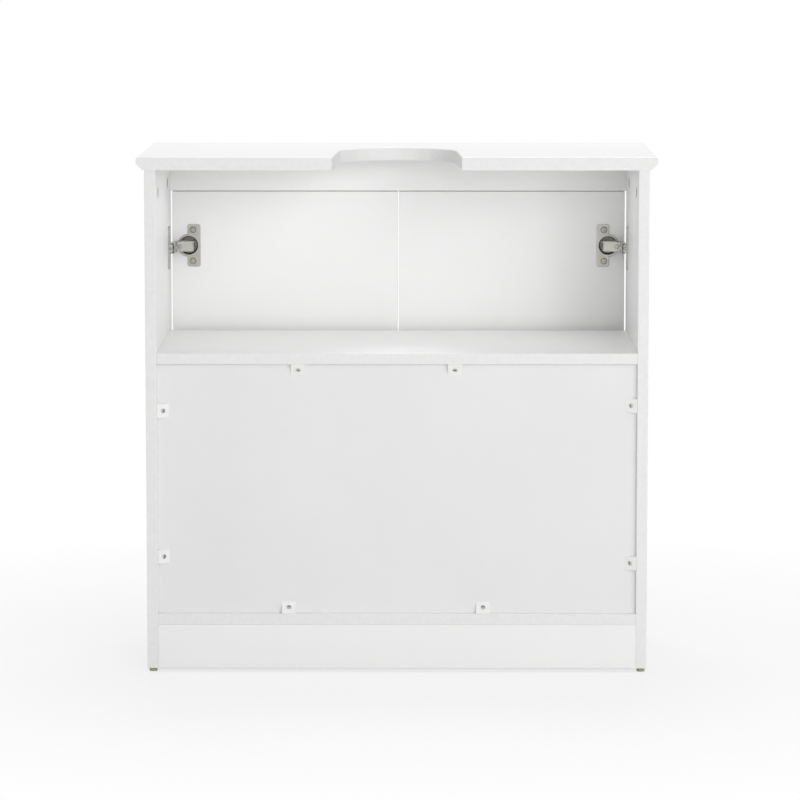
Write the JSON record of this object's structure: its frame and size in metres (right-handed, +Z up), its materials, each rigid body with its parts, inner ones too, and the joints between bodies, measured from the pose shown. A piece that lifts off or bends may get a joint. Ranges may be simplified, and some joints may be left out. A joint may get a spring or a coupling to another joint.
{
  "type": "sink base cabinet",
  "caption": "Low white cabinet that stands round a pedestal basin: U-notched top with moulded edge, inset doors on concealed hinges, fixed shelf, half-open back.",
  "frame": {"origin": "on the floor, under the middle of the cabinet's bounding box with its knobs", "axes": "+X to the right as seen from the doors, +Y from the doors to the rear, +Z up"},
  "size_m": [0.6, 0.312, 0.6],
  "materials": {
    "white_paint": "smooth semi-gloss white paint on fibreboard",
    "white_panel": "thin white-faced hardboard, satin",
    "white_plastic": "moulded white plastic",
    "khaki_plastic": "moulded khaki plastic",
    "beech": "fluted beech",
    "cast_zinc": "die-cast zinc, satin",
    "satin_nickel": "satin nickel plate",
    "nickel_plate": "bright nickel plate on pressed steel",
    "zinc_steel": "zinc-plated steel"
  },
  "bodies": {
    "cabinet": {"back_panel": "white_panel", "back_panel_clip_screws": "zinc_steel", "back_panel_clips": "white_plastic", "board_dowels": "beech", "bottom_board": "white_paint", "bottom_board_cam_bolts": "zinc_steel", "bottom_board_cam_locks": "cast_zinc", "front_plinth_rail": "white_paint", "front_top_rail": "white_paint", "glide_nails": "zinc_steel", "glides": "khaki_plastic", "hinge_arm_pins": "nickel_plate", "hinge_arm_screws": "nickel_plate", "hinge_depth_screws": "nickel_plate", "hinge_side_screws": "nickel_plate", "left_lower_hinge_arm": "nickel_plate", "left_lower_mounting_plate": "nickel_plate", "left_side_panel": "white_paint", "left_upper_hinge_arm": "nickel_plate", "left_upper_mounting_plate": "nickel_plate", "middle_shelf": "white_paint", "mounting_plate_screws": "nickel_plate", "rail_dowels": "beech", "rear_plinth_rail": "white_paint", "right_lower_hinge_arm": "nickel_plate", "right_lower_mounting_plate": "nickel_plate", "right_side_panel": "white_paint", "right_upper_hinge_arm": "nickel_plate", "right_upper_mounting_plate": "nickel_plate", "shelf_cam_bolts": "zinc_steel", "shelf_cam_locks": "cast_zinc", "top_board": "white_paint", "top_cam_bolts": "zinc_steel", "top_cam_locks": "cast_zinc", "top_dowels": "beech"},
    "left_outer_links": {"left_door_outer_links": "nickel_plate"},
    "left_inner_links": {"left_door_inner_links": "nickel_plate"},
    "left_door": {"left_door": "white_paint", "left_door_hinge_pins": "nickel_plate", "left_door_hinge_screws": "nickel_plate", "left_knob": "satin_nickel", "left_knob_screw": "zinc_steel", "left_lower_hinge_cup": "nickel_plate", "left_upper_hinge_cup": "nickel_plate"},
    "right_outer_links": {"right_door_outer_links": "nickel_plate"},
    "right_inner_links": {"right_door_inner_links": "nickel_plate"},
    "right_door": {"right_door": "white_paint", "right_door_hinge_pins": "nickel_plate", "right_door_hinge_screws": "nickel_plate", "right_knob": "satin_nickel", "right_knob_screw": "zinc_steel", "right_lower_hinge_cup": "nickel_plate", "right_upper_hinge_cup": "nickel_plate"}
  },
  "joints": [
    {"name": "left_outer_links_swing", "type": "hinge", "parent": "cabinet", "child": "left_outer_links", "pos_m": [-0.25, -0.1239, 0.3], "axis": [0, 0, -1], "range_deg": [0, 14.25]},
    {"name": "left_door_swing", "type": "hinge", "parent": "left_outer_links", "child": "left_door", "pos_m": [-0.2639, -0.1265, 0.3], "axis": [0, 0, -1], "range_deg": [0, 80.75]},
    {"name": "left_inner_links_swing", "type": "hinge", "parent": "cabinet", "child": "left_inner_links", "pos_m": [-0.26125, -0.126, 0.3], "axis": [0, 0, -1], "range_deg": [0, 104.5]},
    {"name": "right_outer_links_swing", "type": "hinge", "parent": "cabinet", "child": "right_outer_links", "pos_m": [0.25, -0.1239, 0.3], "axis": [0, 0, 1], "range_deg": [0, 14.25]},
    {"name": "right_door_swing", "type": "hinge", "parent": "right_outer_links", "child": "right_door", "pos_m": [0.2639, -0.1265, 0.3], "axis": [0, 0, 1], "range_deg": [0, 80.75]},
    {"name": "right_inner_links_swing", "type": "hinge", "parent": "cabinet", "child": "right_inner_links", "pos_m": [0.26125, -0.126, 0.3], "axis": [0, 0, 1], "range_deg": [0, 104.5]}
  ],
  "couplings": [
    {"joint": "left_outer_links_swing", "follows": "left_door_swing", "ratio": 0.17647},
    {"joint": "left_inner_links_swing", "follows": "left_door_swing", "ratio": 1.2941},
    {"joint": "right_outer_links_swing", "follows": "right_door_swing", "ratio": 0.17647},
    {"joint": "right_inner_links_swing", "follows": "right_door_swing", "ratio": 1.2941}
  ]
}
